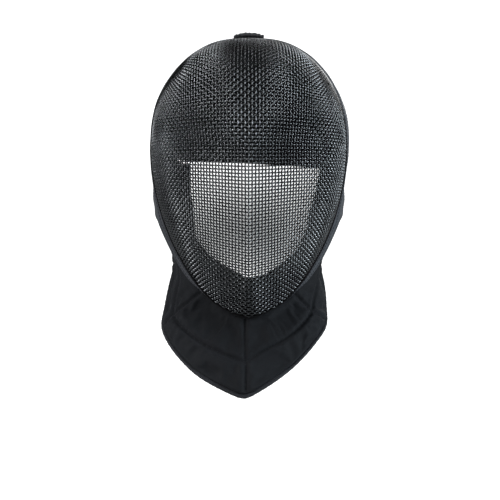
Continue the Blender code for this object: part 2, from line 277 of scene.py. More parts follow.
def between(table, row, column):
    # weighted mean of the four cells round a place in a table
    j = np.clip(row.astype(int), 0, table.shape[0] - 2)
    i = np.clip(column.astype(int), 0, table.shape[1] - 2)
    b, a = (row - j)[..., None], (column - i)[..., None]
    low = table[j, i] * (1.0 - a) + table[j, i + 1] * a
    high = table[j + 1, i] * (1.0 - a) + table[j + 1, i + 1] * a
    return low * (1.0 - b) + high * b, (high - low), (
        (table[j, i + 1] - table[j, i]) * (1.0 - b) + (table[j + 1, i + 1] - table[j + 1, i]) * b
    )


# A flat map of the right half: a place is (across, up), its distance from 0 is the share of the way to
# the rim, and the face runs straight on past the rim.
flatMap = {"reach": 2.4, "step": 0.0125}


def makeFlatMap():
    curves, lengths = faceCurves()
    across = np.arange(0.0, flatMap["reach"] + 1e-9, flatMap["step"])
    up = np.arange(-flatMap["reach"], flatMap["reach"] + 1e-9, flatMap["step"])
    u, v = np.meshgrid(across, up)
    tau = np.hypot(u, v)
    share = np.arctan2(u, v) / np.pi
    row = share * (face["curves"] - 1)
    last = face["steps"] - 1.0
    inside = between(curves, row, np.minimum(tau, 1.0) * last)[0]
    rimTangent = unit(curves[:, -1] - curves[:, -3])
    onward = between(rimTangent[:, None, :].repeat(2, axis=1), row, row * 0.0)[0]
    length = np.interp(row, np.arange(len(lengths)), lengths)
    return inside + unit(onward) * (np.maximum(tau - 1.0, 0.0) * length)[..., None], lengths


faceTable, curveLengths = makeFlatMap()


def faceAt(across, up):
    # place on the face, and its steps along across and up
    row = (up + flatMap["reach"]) / flatMap["step"]
    place, alongUp, alongAcross = between(faceTable, row, across / flatMap["step"])
    return place, alongAcross / flatMap["step"], alongUp / flatMap["step"]


# The woven wires: a net of equal links laid on the face, its middle column on the ridge and one row level.
net = {
    "pitch": 3.3,
    "levelRow": -75.0,
    "above": 56,
    "below": 80,
    "beside": 64,
    "shear": 0.03,
    "ridgeShear": (1.0, 9.0),  # stiffness of the diagonals at the ridge, and the columns over which it fades
    "bend": 0.12,
    "closest": 0.45,  # shortest diagonal of a cell, in pitches
    "slack": 0.85,  # share of its speed that a knot keeps
    "step": 0.3,  # share of the pull that it gains
    "longestStep": 0.3,  # farthest move in a round, in 180ths of a link
    "rounds": ((8, 900), (4, 500), (2, 350), (1, 250)),  # stride and how many rounds of relaxing
    "wireRadius": 0.77,
    "weave": 0.72,
    "cuts": 3,
    "sides": 5,
    "turn": 0.4,  # turn of the sides round a wire
    "lowRows": 12,  # the lower level wires end this many rows below the level row
}


def ridgePlaces(stride):
    # the middle column: equal running lengths up to the crown and down to the chin
    up = np.linspace(0.0, flatMap["reach"], 481)
    crown = faceAt(up * 0.0, up)[0]
    start = np.interp(net["levelRow"], crown[:, 2][:200], up[:200]) * curveLengths[0]
    rows = np.arange(-net["below"], net["above"] + 1, stride)
    run = start + rows * net["pitch"]
    return np.where(run > 0, run / curveLengths[0], run / curveLengths[-1])


def bendOf(points, normal):
    # second difference along the first axis, without its part along the normal
    bend = points[2:] + points[:-2] - 2.0 * points[1:-1]
    return (bend - (bend * normal).sum(-1, keepdims=True) * normal) * net["bend"]


def relaxNet(across, up, stride, rounds):
    # each link pulls its two knots until it has its length; diagonals resist, most of all beside the ridge,
    # and stop short; each wire resists bending sideways
    rest = net["pitch"] * stride
    ridge = ridgePlaces(stride)
    level = net["below"] // stride
    stiffest, fade = net["ridgeShear"]
    square = net["shear"] + stiffest * np.exp(-np.arange(across.shape[1] - 1) * stride / fade)[None, :, None]
    slack, step, longest = net["slack"], net["step"], net["longestStep"] * rest / 180.0
    here, on, back = slice(None), slice(1, None), slice(None, -1)
    speed = np.zeros(across.shape + (2,))
    for _ in range(rounds):
        place, alongAcross, alongUp = faceAt(across, up)
        pull = np.zeros_like(place)
        for a, b, length, stiff in (
            ((here, on), (here, back), rest, 1.0),
            ((on, here), (back, here), rest, 1.0),
            ((on, on), (back, back), rest * 1.414, square),
            ((on, back), (back, on), rest * 1.414, square),
        ):
            link = place[a] - place[b]
            long = np.linalg.norm(link, axis=-1, keepdims=True)
            excess = (long - length) * stiff
            if length > rest:
                excess = excess + np.minimum(long - net["closest"] * rest, 0.0)
            push = link / np.maximum(long, 1e-6) * excess * 0.5
            pull[a] -= push
            pull[b] += push
        normal = unit(np.cross(alongAcross, alongUp))
        mirrored = np.concatenate([place[:, 1:2] * (-1.0, 1.0, 1.0), place], axis=1)
        bend = np.swapaxes(bendOf(np.swapaxes(mirrored, 0, 1), np.swapaxes(normal[:, :-1], 0, 1)), 0, 1)
        pull[:, 1:] -= bend
        pull[:, :-1] += 2.0 * bend
        pull[:, :-2] -= bend[:, 1:]
        bend = bendOf(place, normal[1:-1])
        pull[2:] -= bend
        pull[1:-1] += 2.0 * bend
        pull[:-2] -= bend
        # the pull in the map's own directions
        e, f, g, p, r = (
            (a * b).sum(-1)
            for a, b in (
                (alongAcross, alongAcross), (alongAcross, alongUp), (alongUp, alongUp),
                (pull, alongAcross), (pull, alongUp),
            )
        )
        det = e * g - f * f + 1e-3 * e * g
        move = np.stack([(g * p - f * r) / det, (e * r - f * p) / det], axis=-1)
        speed = speed * slack + move * step
        size = np.linalg.norm(speed, axis=-1, keepdims=True)
        speed *= np.minimum(1.0, longest / np.maximum(size, 1e-9))
        across = np.clip(across + speed[..., 0], 0.0, flatMap["reach"] * 0.99)
        up = np.clip(up + speed[..., 1], -flatMap["reach"] * 0.99, flatMap["reach"] * 0.99)
        across[:, 0], up[:, 0] = 0.0, ridge
        rowPlace, _, rowUp = faceAt(across[level], up[level])
        up[level, 1:] += ((net["levelRow"] - rowPlace[:, 2]) / rowUp[:, 2])[1:]
    return across, up


def finer(values):
    # a value halfway between each two, both ways
    for _ in range(2):
        values = values.T
        more = np.zeros((len(values) * 2 - 1, values.shape[1]))
        more[::2] = values
        more[1::2] = (values[1:] + values[:-1]) / 2.0
        values = more
    return values


def layNet():
    # from a coarse net to the fine one, each started from the last; the first is spread out like a fan
    (stride, rounds), *later = net["rounds"]
    rows = np.arange(-net["below"], net["above"] + 1, stride)
    columns = np.arange(0, net["beside"] + 1, stride)
    i, j = np.meshgrid(columns * net["pitch"], rows * net["pitch"])
    j = j + ridgePlaces(stride)[net["below"] // stride] * curveLengths[0]
    share = np.arctan2(i, j) / np.pi
    tau = np.hypot(i, j) / np.interp(share * (face["curves"] - 1), np.arange(face["curves"]), curveLengths)
    tau = np.minimum(tau, flatMap["reach"] * 0.95)
    across, up = relaxNet(tau * np.sin(np.pi * share), tau * np.cos(np.pi * share), stride, rounds)
    for stride, rounds in later:
        across, up = relaxNet(finer(across), finer(up), stride, rounds)
    return across, up


knotAcross, knotUp = layNet()


def mirrorNet(values, sign=1.0):
    # the left half is the right half turned over at the ridge
    return np.concatenate([values[:, :0:-1] * sign, values], axis=1)


def splineThrough(values, cuts):
    # four-point curve through the samples of the first axis, cuts to each step
    n = len(values)
    t = np.arange((n - 1) * cuts + 1) / cuts
    i = np.minimum(t.astype(int), n - 2)
    u = (t - i).reshape((-1,) + (1,) * (values.ndim - 1))
    a, b, c, d = (values[np.clip(i + k, 0, n - 1)] for k in (-1, 0, 1, 2))
    return b + 0.5 * u * (c - a + u * (2.0 * a - 5.0 * b + 4.0 * c - d + u * (3.0 * (b - c) + d - a)))


def weaveWires(place, normal, reach, parity):
    # each column of the tables is one wire: place + weave * cos(pi * (knot + parity)) * normal
    cuts, sides = net["cuts"], net["sides"]
    line, out = splineThrough(place, cuts), unit(splineThrough(normal, cuts))
    reach = splineThrough(reach, cuts)
    t = np.arange(len(line)) / cuts
    line = line + out * (net["weave"] * np.cos(np.pi * (t[:, None] + parity[None, :])))[..., None]
    # the last place outside the rim moves to the crossing with it
    inside = reach <= 1.0
    padded = np.pad(inside, ((1, 1), (0, 0)))
    before, after = padded[2:] & ~inside, padded[:-2] & ~inside
    for edge, step in ((before, 1), (after, -1)):
        j, i = np.nonzero(edge)
        part = ((1.0 - reach[j, i]) / (reach[j + step, i] - reach[j, i]))[:, None]
        line[j, i] = line[j, i] * (1.0 - part) + line[j + step, i] * part
    kept = inside | before | after
    along = unit(np.gradient(line, axis=0))
    out = squareTo(along, out)
    beside = np.cross(along, out)
    turn = np.arange(sides) * 2.0 * np.pi / sides + net["turn"]
    ring = line[:, :, None] + net["wireRadius"] * (
        np.cos(turn)[:, None] * out[:, :, None] + np.sin(turn)[:, None] * beside[:, :, None]
    )
    number = sides * (np.cumsum(kept.T.ravel()).reshape(kept.T.shape).T - 1)[..., None]
    points = np.swapaxes(ring, 0, 1)[kept.T].reshape(-1, 3)
    linked = kept[:-1] & kept[1:]
    here, there = number[:-1][linked], number[1:][linked]
    k = np.arange(sides)
    following = (k + 1) % sides
    walls = np.stack([here + k, here + following, there + following, there + k], axis=-1).reshape(-1, 4)
    padded = np.pad(kept, ((1, 1), (0, 0)))
    caps = np.concatenate([number[kept & ~padded[:-2]] + k[::-1], number[kept & ~padded[2:]] + k])
    return points, [walls, caps]


def makeWires(look):
    # upright wires are the columns of the net, level wires its rows
    place, alongAcross, alongUp = faceAt(knotAcross, knotUp)
    normal = unit(np.cross(alongUp, alongAcross))
    normal[:, 0, 0] = 0.0
    flip = np.array([-1.0, 1.0, 1.0])
    tables = mirrorNet(place, flip), mirrorNet(unit(normal), flip), mirrorNet(np.hypot(knotAcross, knotUp))
    middle, low = net["beside"], net["below"] - net["lowRows"]
    for shift, parts in (
        (1, {"upright_wires_left": slice(0, middle), "upright_wires_right": slice(middle, None)}),
        (0, {"level_wires_lower": slice(0, low), "level_wires_upper": slice(low, None)}),
    ):
        parity = np.arange(tables[0].shape[1]) + shift
        for name, part in parts.items():
            points, faces = weaveWires(*(t[:, part] for t in tables), parity[part])
            wires = addPiece(name, toFrame(points), faces, look, "wire")
            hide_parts("face_mesh")
        tables = [np.swapaxes(t, 0, 1) for t in tables]
    print("wires woven")


# The cord between mesh and band.
cord = {"radius": 1.1, "back": 0.7, "out": 0.7, "sides": 8, "samples": 420}


def carryRound(path, out, radius, sides, closed):
    # a round profile carried along a path: path + radius * (cos * out + sin * beside)
    along = unit(np.roll(path, -1, axis=0) - np.roll(path, 1, axis=0) if closed else np.gradient(path, axis=0))
    out = squareTo(along, out)
    beside = np.cross(along, out)
    turn = (np.arange(sides) * 2.0 * np.pi / sides)[:, None]
    reach = np.broadcast_to(radius, (len(path),))[:, None, None]
    return path[:, None] + reach * (np.cos(turn) * out[:, None] + np.sin(turn) * beside[:, None])


def clothLengths(points, wrapRows=False, wrapColumns=False):
    # running length along both directions of a grid, in metres, with the closing step where it wraps
    if wrapRows:
        points = np.concatenate([points, points[:1]])
    if wrapColumns:
        points = np.concatenate([points, points[:, :1]], axis=1)
    down = np.linalg.norm(np.diff(points, axis=0), axis=-1).mean(1)
    right = np.linalg.norm(np.diff(points, axis=1), axis=-1).mean(0)
    v, u = (np.concatenate([[0.0], np.cumsum(s)]) * 0.001 for s in (down, right))
    return np.stack(np.broadcast_arrays(u[None, :], v[:, None]), axis=-1).reshape(-1, 2)


def addTube(name, ring, look, slot, closed):
    # rings joined by quads, the ends closed by a face each
    rows, sides = ring.shape[:2]
    walls, flat = gridFaces(rows, sides, closed, True)
    faces, clothMap = [walls], [clothLengths(ring, closed, True)[flat]]
    if not closed:
        k = np.arange(sides)
        faces.append(np.stack([k[::-1], (rows - 1) * sides + k]))
        clothMap.append(np.zeros((2, sides, 2)))
    return addPiece(name, toFrame(ring.reshape(-1, 3)), faces, look, slot, clothMap)


def makeCord(look):
    share = np.linspace(-1.0, 1.0, cord["samples"] + 1)[:-1]
    x, forward, height = rimAt(share)
    outX, outHeight = rimOutward(share)
    path = stack(x + outX * cord["out"], forward - cord["back"], height + outHeight * cord["out"])
    ring = carryRound(path, stack(outX, 0.0, outHeight), cord["radius"], cord["sides"], True)
    piping = addTube("rim_cord", ring, look, "piping", True)
    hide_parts("rim_piping")
    print("rim cord laid")


# The band over the crown and the sides, a narrow trim from the ears to the chin.
band = {
    "wall": 2.0,
    "start": 3.0,
    "shoulderDepth": 12.0,
    "rows": [  # share, depth, shoulder left, shoulder right, rear left, rear right
        (0.0, 58.0, 2.2, 2.2, 0.0, 0.0), (0.13, 64.0, 1.0, 3.8, 1.5, 4.4),
        (0.20, 70.0, 1.4, 3.4, 4.0, 9.0), (0.31, 78.0, 2.0, 3.0, 7.0, 12.6),
        (0.45, 80.0, 1.8, 1.8, 6.8, 10.4), (0.53, 80.0, 2.0, 2.0, 8.2, 8.4),
        (0.585, 78.0, 2.5, 2.5, 11.8, 12.4), (0.615, 62.0, 3.0, 3.0, 12.0, 12.6),
        (0.64, 30.0, 4.0, 4.0, 8.7, 8.8), (0.665, 11.0, 5.0, 5.0, 6.8, 6.8),
        (0.76, 9.0, 4.5, 4.5, 6.0, 6.0), (0.81, 8.0, 3.8, 3.8, 5.2, 5.2),
        (0.845, 7.0, 2.4, 2.4, 3.2, 3.2), (0.88, 6.0, 1.4, 1.4, 1.9, 1.9), (1.0, 5.0, 0.8, 0.8, 1.0, 1.0),
    ],
    "round": 0.9,  # radius of its two edges
    "edgePlaces": (0.0, 0.15, 0.45, 0.9, 1.6, 2.4, 3.3, 4.2, 5.1, 6.2, 8.0),  # across, near an edge
    "middlePlaces": 15,  # places between those of both edges
    "seam": (4.2, 0.28, 0.9),  # groove this far from an edge, its depth and its width
    "ripple": 0.22,
    "roomy": 14.0,  # the grooves are full where the band is this deep
    "waves": [(0.3, 61.0, 0.2), (1.9, 37.0, 1.2), (4.1, 83.0, -0.5), (2.2, 23.0, 0.1)],  # turn, length, lean
    "calm": 6.0,  # the ripples fade this near an edge
    "samples": 560,
    "stitch": (3.4, 2.5, 0.3, 0.12),  # pitch, length, radius, lift
}


def bandSheet(across, share):
    # back = start + (depth - start) * across; it stands outside the rim by the shoulder, then leans to the rear
    row = np.array(band["rows"]).T
    at = np.abs(share)
    left, right = [[steady(row[0], row[k], at) for k in pair] for pair in ((2, 4), (3, 5))]
    depth = steady(row[0], row[1], at)
    shoulder, rear = (np.where(share < 0, left[k], right[k]) for k in (0, 1))
    run = band["shoulderDepth"] - band["start"]
    back = band["start"] + (depth - band["start"]) * across
    near = np.clip((back - band["start"]) / run, 0.0, 1.0)
    last = np.clip((depth - band["start"]) / run, 0.0, 1.0)
    out = shoulder * near * (2.0 - near) + (rear - shoulder * last * (2.0 - last)) * across
    outX, outHeight = rimOutward(share)
    x, forward, height = rimAt(share)
    return stack(x + outX * out, forward - back, height + outHeight * out)


def bandEdge(share):
    # the back edge, and the direction that leads on from it, square to the edge
    edge = bandSheet(1.0, share)
    along = unit(bandSheet(1.0, share + 0.002) - bandSheet(1.0, share - 0.002))
    return edge, squareTo(along, edge - bandSheet(0.9, share))


def ripples(u, v, seeds, size):
    # sum of slow sine waves with fixed turns and lengths
    total = 0.0
    for turn, length, lean in seeds:
        total = total + np.sin((u * math.cos(lean) + v * math.sin(lean)) * 2.0 * math.pi / length + turn)
    return total * size / len(seeds)


def makeBand(look):
    # a closed ring of rounded sections: middle sheet + side * half the wall * edge rounding - seam grooves
    share = np.linspace(-1.0, 1.0, band["samples"] + 1)[:-1]
    edge = np.array(band["edgePlaces"])
    inner = np.linspace(0.0, 1.0, band["middlePlaces"] + 2)[1:-1]
    depth = np.linalg.norm(bandSheet(1.0, share) - bandSheet(0.0, share), axis=-1)
    # places across in millimetres: close together near both edges, even between them
    edges = np.minimum(edge[None, :], depth[:, None] * 0.5 * edge / (edge[-1] + 0.6))
    middle = edges[:, -1:] + (depth[:, None] - 2.0 * edges[:, -1:]) * inner
    run = np.concatenate([edges, middle, depth[:, None] - edges[:, ::-1]], axis=1)
    sheet = bandSheet(run / depth[:, None], share[:, None])
    normal = sheetNormals(sheet, wrapRows=True)
    outX, outHeight = rimOutward(share)
    normal *= np.sign((normal * stack(outX, 0.0, outHeight)[:, None]).sum(-1, keepdims=True))
    away = np.minimum(run, depth[:, None] - run)
    half = roundEdge(away / band["round"]) * band["wall"] / 2.0
    where, deep, wide = band["seam"]
    room = np.clip(depth / band["roomy"], 0.0, 1.0)[:, None]
    groove = deep * room * bell((away - where * room) / wide)
    loose = ripples(share[:, None] * rimTable["length"], run, band["waves"], band["ripple"])
    loose = loose * np.clip(away / band["calm"], 0.0, 1.0)
    outside = sheet + normal * (half - groove + loose)[..., None]
    inside = sheet - normal * (half - loose)[..., None]
    ring = np.concatenate([outside, inside[:, -2:0:-1]], axis=1)
    faces, flat = gridFaces(*ring.shape[:2], True, True)
    clothMap = [clothLengths(ring, True, True)[flat]]
    cover = addPiece("cover_band", toFrame(ring.reshape(-1, 3)), [faces], look, "cover", clothMap)
    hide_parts("rim_band")
    print("band covered")
    return outside, normal, run, depth


def addStitches(name, places, along, out, look, slot, length, radius):
    # a capsule of thread for each stitch, rings of place + along * run + radius * (cos * out + sin * beside)
    # between two tips
    run = np.array([-0.5, -0.42, -0.2, 0.2, 0.42, 0.5]) * length
    wide = np.array([0.0, 0.75, 1.0, 1.0, 0.75, 0.0]) * radius
    lift = np.array([-0.8, -0.1, 0.25, 0.25, -0.1, -0.8]) * radius
    turn = np.arange(6) * np.pi / 3.0
    along = unit(along)
    out = squareTo(along, out)
    beside = np.cross(along, out)
    rings = places[:, None, None] + along[:, None, None] * run[:, None, None] + (
        out[:, None, None] * (lift[:, None] + wide[:, None] * np.cos(turn))[..., None]
        + beside[:, None, None] * (wide[:, None] * np.sin(turn))[..., None]
    )
    points = rings.reshape(len(places), 36, 3)[:, [0, *range(6, 31)]]
    start = np.arange(len(places))[:, None, None] * 26
    k = np.arange(6)
    after, tip = (k + 1) % 6, k * 0
    heads = np.stack([tip, after + 1, k + 1], axis=-1)
    tails = np.stack([k + 19, after + 19, tip + 25], axis=-1)
    walls = start + 1 + gridFaces(4, 6, False, True)[0]
    ends = np.concatenate([(start + heads).reshape(-1, 3), (start + tails).reshape(-1, 3)])
    return addPiece(name, toFrame(points.reshape(-1, 3)), [walls.reshape(-1, 4), ends], look, slot)


def evenPlaces(path, pitch):
    # places at even running lengths along a path
    run = runAlong(path)
    count = int(run[-1] / pitch)
    return np.interp((np.arange(count) + 0.5) * run[-1] / count, run, np.arange(len(path)))


def rowsAt(table, places):
    # weighted mean of the two rows round each place
    i = np.clip(places.astype(int), 0, len(table) - 2)
    part = (places - i)[:, None]
    return table[i] * (1.0 - part) + table[i + 1] * part


def stitchRow(name, path, out, sizes, look, slot):
    # stitches at an even pitch along a path, lifted a little
    pitch, length, radius, lift = sizes
    places = evenPlaces(path, pitch)
    out, along = rowsAt(out, places), rowsAt(np.gradient(path, axis=0), places)
    addStitches(name, rowsAt(path, places) + out * lift, along, out, look, slot, length, radius)


def stitchBand(outside, normal, run, depth, look):
    # two rows of stitches in the seam grooves, front and back
    room = band["seam"][0] * np.clip(depth / band["roomy"], 0.0, 1.0)
    rows = np.arange(len(run))
    for name, at in (("front_band_stitches", room), ("back_band_stitches", depth - room)):
        column = np.array([np.interp(a, r, np.arange(len(r))) for a, r in zip(at, run)])
        i = np.clip(column.astype(int), 0, run.shape[1] - 2)
        part = (column - i)[:, None]
        path = outside[rows, i] * (1.0 - part) + outside[rows, i + 1] * part
        path, out = (np.concatenate([v, v[:1]]) for v in (path, normal[rows, i]))
        stitchRow(name, path, out, band["stitch"], look, "cover")
    print("band stitched")


# Padded pieces: a front and a back grid that share their border, swelled as cloth under pressure.
cloth = {"frames": 18, "mass": 0.25, "tension": 12.0, "bending": 0.05}


def pillow(front, back):
    # the back grid gives its inner places; its border is the front's
    rows, columns = front.shape[:2]
    ahead = np.arange(rows * columns).reshape(rows, columns)
    behind = ahead.copy()
    behind[1:-1, 1:-1] = rows * columns + np.arange((rows - 2) * (columns - 2)).reshape(rows - 2, columns - 2)
    quads, _ = gridFaces(rows, columns)
    points = np.concatenate([front.reshape(-1, 3), back[1:-1, 1:-1].reshape(-1, 3)])
    return points, [quads, behind.reshape(-1)[quads][:, ::-1]], quads


def borderAway(middle, square=(1.0, 1.0)):
    # the shortest running length to the border of a grid; square makes the first and last column's edge fuller
    down, right = runAlong(middle), runAlong(middle, 1)
    sides = np.minimum(right * square[0], (right[:, -1:] - right) * square[1])
    return np.minimum(np.minimum(down, down[-1:] - down), sides)


def roundedWall(middle, wall, edge, facing, square=(1.0, 1.0)):
    # normals, distance to the border, and half the wall with its edge rounded
    normal = sheetNormals(middle)
    normal *= np.sign((normal * facing).sum(-1).mean())
    away = borderAway(middle, square)
    return normal, away, wall / 2.0 * roundEdge(away / edge)


def swell(front, back, held, pressure, extra, cap):
    # the pillow as cloth under pressure, held where told; gives how far front and back have moved
    points, faces, _ = pillow(front, back)
    mesh = newMesh("swelling", points * 0.001, faces)
    if facesIn(points, faces):
        mesh.flip_normals()
    piece = newObject("swelling", mesh)
    holding = piece.vertex_groups.new(name="held")
    holding.add(np.nonzero(held)[0].tolist(), 1.0, "REPLACE")
    sim = piece.modifiers.new("swelling", "CLOTH")
    settings = sim.settings
    settings.quality = 6
    settings.mass = cloth["mass"]
    settings.tension_stiffness = settings.compression_stiffness = cloth["tension"]
    settings.bending_stiffness = cloth["bending"]
    settings.use_pressure = True
    settings.uniform_pressure_force = pressure
    settings.shrink_min = -extra
    settings.effector_weights.gravity = 0.0
    settings.vertex_group_mass = "held"
    sim.collision_settings.use_collision = False
    sim.point_cache.frame_end = cloth["frames"]
    for frameNumber in range(1, cloth["frames"] + 1):
        scene.frame_set(frameNumber)
    moved = piece.evaluated_get(bpy.context.evaluated_depsgraph_get()).to_mesh()
    place = np.empty(len(points) * 3, np.float32)
    moved.vertices.foreach_get("co", place)
    shift = place.reshape(-1, 3) * 1000.0 - points
    length = np.linalg.norm(shift, axis=-1, keepdims=True)
    shift *= np.tanh(length / cap) * cap / np.maximum(length, 1e-6)
    bpy.data.objects.remove(piece)
    bpy.data.meshes.remove(mesh)
    scene.frame_set(1)
    rows, columns = front.shape[:2]
    ahead = shift[: rows * columns].reshape(rows, columns, 3)
    behind = ahead.copy()
    behind[1:-1, 1:-1] = shift[rows * columns:].reshape(rows - 2, columns - 2, 3)
    return ahead, behind


def finerGrid(values, stride):
    # smooth in-between rows and columns
    return np.swapaxes(splineThrough(np.swapaxes(splineThrough(values, stride), 0, 1), stride), 0, 1)


def settle(values, rounds):
    # each place moves to the mean of itself and its four neighbours, the border stays
    for _ in range(rounds):
        mean = (values[:-2, 1:-1] + values[2:, 1:-1] + values[1:-1, :-2] + values[1:-1, 2:]) / 4.0
        values[1:-1, 1:-1] = values[1:-1, 1:-1] * 0.5 + mean * 0.5
    return values


def addPillow(name, front, back, look, slot):
    points, faces, quads = pillow(front, back)
    lengths = clothLengths(front)
    return addPiece(name, toFrame(points), faces, look, slot, [lengths[quads], lengths[quads][:, ::-1]])


# The bib hangs from the back edge of the trim, ear to chin to ear, and ends in a point in front.
bib = {
    "wall": 5.0,
    "tuck": 0.9,   # its top edge lies this far under the band
    "lead": 0.35,  # how much it first follows the band's own direction
    "topWall": ((0.0, 0.15), (0.35, 1.0)),  # shares of the way down, and of the wall there
    "rows": [  # share on the rim, left, right, forward, height, swell
        (0.600, 94.0, 94.0, -73.0, -162.0, 0.0), (0.617, 84.0, 82.5, -70.0, -188.0, 0.0),
        (0.645, 80.0, 76.5, -61.0, -208.0, -3.0), (0.710, 83.7, 79.5, -48.0, -228.0, -9.0),
        (0.800, 88.8, 82.3, -28.0, -248.0, 0.0), (0.870, 91.5, 82.0, -6.0, -266.0, 4.0),
        (0.905, 83.5, 70.0, 10.0, -282.0, 4.0), (0.940, 66.5, 51.0, 25.0, -300.0, 4.0),
        (0.970, 45.0, 29.0, 38.0, -315.0, 4.0), (1.000, 4.9, -4.9, 50.0, -334.0, 4.0),
    ],
    "tip": 0.02,     # rounds the point
    "middle": 0.02,  # how near the middle the top edge is drawn onto it
    "hemRadius": 2.2,
    "hemGap": 0.5,
    "across": 385,
    "down": 49,
    "stride": 3,
    "smoothing": (8, 30, 4),  # rounds for the sheet, for its normals and for the swelling
    "edge": 3.2,
    "square": (3.0, 1.0),
    # quilting seams: the way round (-1 left ear, 0 chin, 1 right ear) and the way down of each corner
    "seams": [
        [(-0.030, 0.0), (-0.002, 0.52), (0.006, 1.0)],
        [(-0.434, 1.0), (-0.455, 0.67), (-0.468, 0.2), (-0.472, 0.0)],
        [
            (-0.002, 0.55), (-0.135, 0.57), (-0.300, 0.62), (-0.455, 0.67),
            (-0.522, 0.58), (-0.573, 0.25), (-0.618, 0.0),
        ],
        [(-0.618, 0.0), (-0.70, 0.45), (-0.76, 1.0)],
        [(0.466, 1.0), (0.445, 0.49), (0.455, 0.05), (0.457, 0.0)],
        [
            (-0.002, 0.55), (0.080, 0.49), (0.282, 0.53), (0.445, 0.49),
            (0.535, 0.37), (0.590, 0.2), (0.632, 0.0),
        ],
        [(0.632, 0.0), (0.70, 0.42), (0.75, 1.0)],
    ],
    "seamCuts": 40,
    "seam": (2.2, 2.1),  # depth and width of the stitched groove
    "middleSeam": (0.75, 1.5, 9.0),  # shares of its depth and width at the middle, and their reach sideways
    "puff": (1.8, 8.0, 0.55, 2.5),  # height and reach of the padding beside a seam, its base, the seam's own reach
    "pucker": (0.16, 4.5, 5.2, 0.31),  # height, reach, length and unevenness of the pull of the stitches
    "folds": 0.3,
    "foldMap": (270.0, 80.0),
    "foldWaves": [(0.4, 17.0, 0.5), (2.0, 11.0, -0.9), (1.1, 29.0, 1.4), (5.0, 23.0, 2.4)],  # turn, length, lean
    "clear": 4.0,   # swelling and folds start this far from a seam
    "border": 5.0,  # and reach their full height this far from the border
    "flat": (0.45, 0.25, 34.0),  # near the ears: from this way round, over this much, down to this length
    "held": (1.0, 2.6),  # the cloth is held this near to its border and to a seam
    "swell": (3.0, 0.05, 1.9),  # pressure, extra cloth, farthest move
    "backShares": (0.6, 0.3),  # how much of the swelling and of the quilting the back takes
    "stitch": (3.1, 2.2, 0.28, 0.12),  # pitch, length, radius, lift
    "stitched": (0.05, 0.95),
}


def bibSheet(down, around):
    # from the band's back edge to the outer edge row, led out of the edge's own direction, with a bow
    row = np.array(bib["rows"]).T
    knots = np.linspace(0.0, 1.0, len(bib["rows"]))
    at = 1.0 - np.abs(around)
    side = np.where(around < 0, -1.0, 1.0)
    edge, onward = bandEdge(np.minimum(steady(knots, row[0], at), 0.997) * side)
    fade = np.clip(np.abs(around) / bib["middle"], 0.0, 1.0)[..., None] * (1.0, 0.0, 0.0) + (0.0, 1.0, 1.0)
    edge, onward = edge * fade, onward * fade
    top = edge - onward * bib["tuck"]
    half = np.where(around < 0, flowing(knots, row[1], at), flowing(knots, row[2], at))
    soft = 1.0 - np.sqrt(around**2 + bib["tip"] ** 2)
    drop = stack(half * side, flowing(knots, row[3], soft), flowing(knots, row[4], soft)) - top
    length = np.linalg.norm(drop, axis=-1, keepdims=True)
    lead = onward * length * bib["lead"] * (down * (1.0 - down) ** 2)[..., None]
    drop = drop * (1.0 - (2.0 * bib["hemRadius"] + bib["hemGap"]) / length)
    bow = flowing(knots, row[5], at) * np.sin(np.pi * down)
    return top + drop * down[..., None] + lead + stack(side * np.sqrt(np.abs(around)) * bow, at * bow, 0.0)


def gridAt(table, around, down):
    # the place on the bib's grid at a way round and a way down
    return between(table, (around + 1.0) / 2.0 * (bib["across"] - 1), down * (bib["down"] - 1))[0]


def seamLines():
    # each seam as a curve through its corners, in small steps
    fine = [splineThrough(np.array(line), bib["seamCuts"]) for line in bib["seams"]]
    return [(line[:, 0], np.clip(line[:, 1], 0.0, 1.0)) for line in fine]


def seamAways(outer, lines):
    # shortest distance from each grid place to the seams, and the running length along the nearest seam
    away, run, start = np.full(outer.shape[:2], 1e3), np.zeros(outer.shape[:2]), 0.0
    for line in lines:
        path = gridAt(outer, *line)
        length = runAlong(path)
        gap = np.sqrt((outer**2).sum(-1)[..., None] + (path**2).sum(-1) - 2.0 * outer @ path.T + 1e-9)
        run = np.where(gap.min(-1) < away, start + length[gap.argmin(-1)], run)
        away = np.minimum(away, gap.min(-1))
        start += length[-1]
    return away, run


def quiltRelief(outer, seamAway, seamRun):
    # puff beside the seams + groove + pull of the stitches + folds away from the seams
    rise, reach, base, own = bib["puff"]
    puff = rise * (bell(seamAway / reach) - base) * (1.0 - bell(seamAway / own))
    deep, wide = bib["seam"]
    shallow, broad, sideways = bib["middleSeam"]
    centre = bell(outer[..., 0] / sideways)
    groove = -deep * (1.0 + (shallow - 1.0) * centre) * bell(seamAway / wide / (1.0 + (broad - 1.0) * centre))
    pull, far, length, uneven = bib["pucker"]
    wave = np.sin(seamRun * 2.0 * math.pi / length + np.sin(seamRun * uneven))
    around, down = (
        np.linspace(start, 1.0, count) * size
        for start, count, size in zip((-1.0, 0.0), outer.shape, bib["foldMap"])
    )
    loose = ripples(around[:, None], down[None, :], bib["foldWaves"], bib["folds"])
    clear = 1.0 - bell(seamAway / bib["clear"])
    return puff + groove + pull * bell(seamAway / far) * wave + loose * clear, clear


